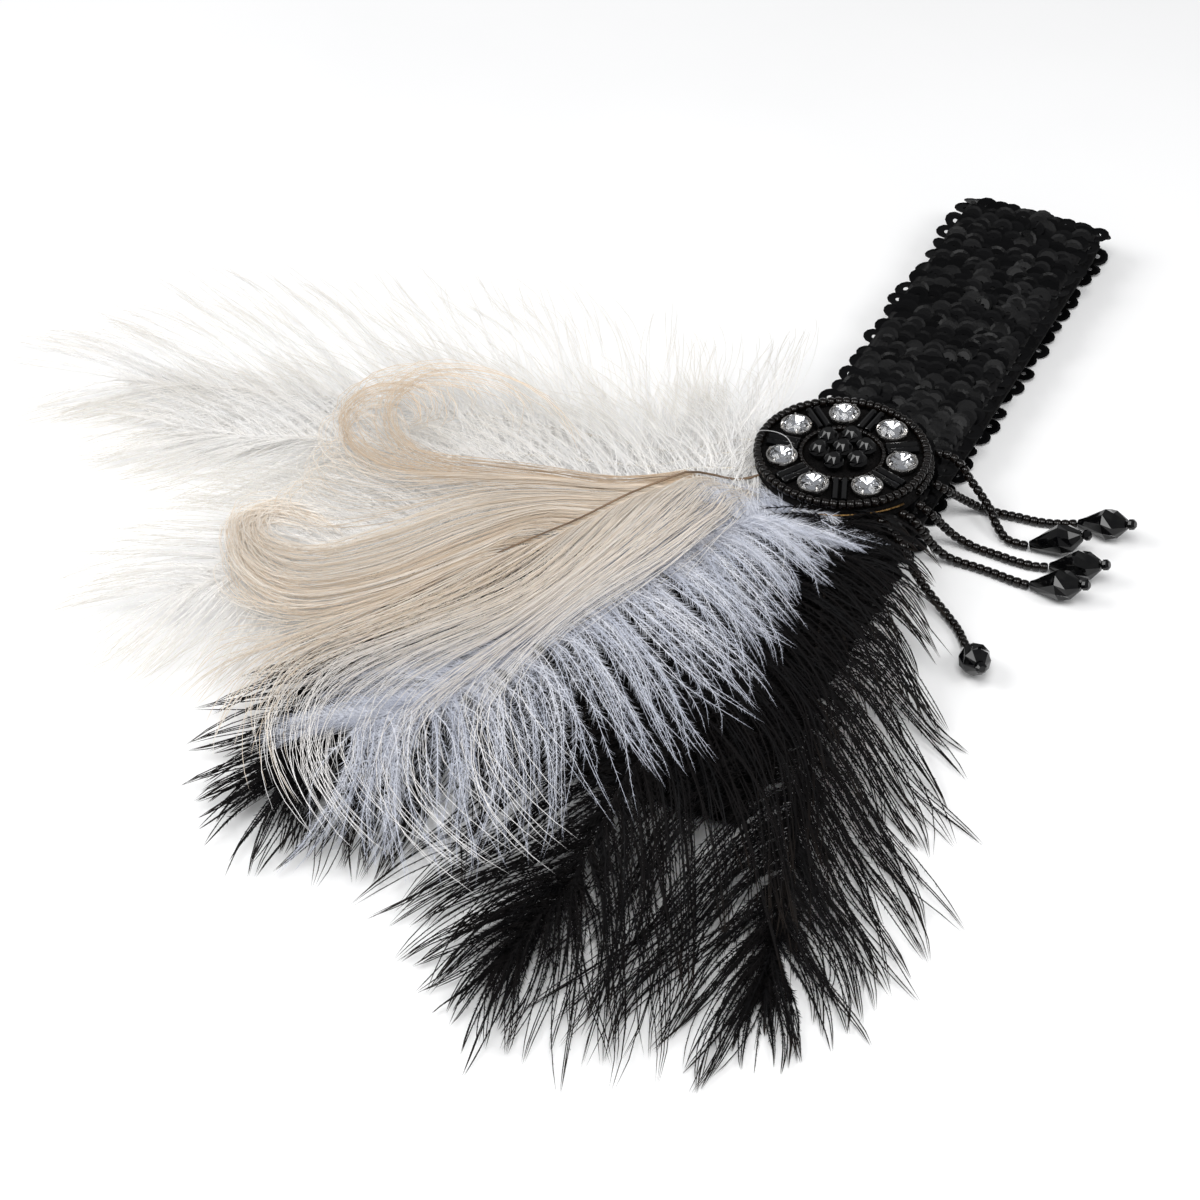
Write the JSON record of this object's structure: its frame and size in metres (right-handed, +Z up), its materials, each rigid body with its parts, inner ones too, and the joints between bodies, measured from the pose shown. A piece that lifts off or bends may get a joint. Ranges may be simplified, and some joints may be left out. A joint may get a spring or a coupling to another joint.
{
  "type": "feather fascinator headband",
  "caption": "Sequin headband lying flat, with a round beaded medallion of clear stones, a spreading plume of white, ivory and black feathers, and a fringe of beaded drops.",
  "frame": {"origin": "on the table, on the band's flat underside below the medallion, in the middle of the band's width", "axes": "+X along the band towards its free fold, +Y across it towards the white feathers, +Z up from the table"},
  "size_m": [0.3394, 0.293, 0.0266],
  "materials": {
    "sequins": "black ring sequins sewn on black elastic",
    "pad_cloth": "black felt with a brown edge",
    "jet": "opaque black glass, polished",
    "crystal": "clear cut glass in silver cups",
    "white_feather": "soft white ostrich barbs",
    "ivory_feather": "bleached curled peacock barbs",
    "grey_feather": "fluffy grey-white ostrich barbs",
    "black_feather": "black ostrich barbs with brown-grey ends"
  },
  "bodies": {
    "root": {"sequin_band": "sequins", "medallion_pad": "pad_cloth", "rim_beads": "jet", "bugle_beads": "jet", "white_ostrich_1": "white_feather", "white_ostrich_2": "white_feather", "white_ostrich_3": "white_feather", "peacock_feather": "ivory_feather", "grey_ostrich": "grey_feather", "black_ostrich_1": "black_feather", "black_ostrich_2": "black_feather", "black_ostrich_3": "black_feather", "rhinestone_1": "crystal", "rhinestone_2": "crystal", "rhinestone_3": "crystal", "rhinestone_4": "crystal", "rhinestone_5": "crystal", "rhinestone_6": "crystal", "rhinestone_7": "crystal", "flower_bead_0": "jet", "flower_bead_1": "jet", "flower_bead_2": "jet", "flower_bead_3": "jet", "flower_bead_4": "jet", "flower_bead_5": "jet", "flower_bead_6": "jet", "fringe_string_1": "jet", "drop_bead_1": "jet", "stop_bead_1": "jet", "fringe_string_2": "jet", "drop_bead_2": "jet", "stop_bead_2": "jet", "fringe_string_3": "jet", "drop_bead_3": "jet", "stop_bead_3": "jet", "fringe_string_4": "jet", "drop_bead_4": "jet", "stop_bead_4": "jet", "fringe_string_5": "jet", "drop_bead_5": "jet", "stop_bead_5": "jet"}
  },
  "joints": []
}
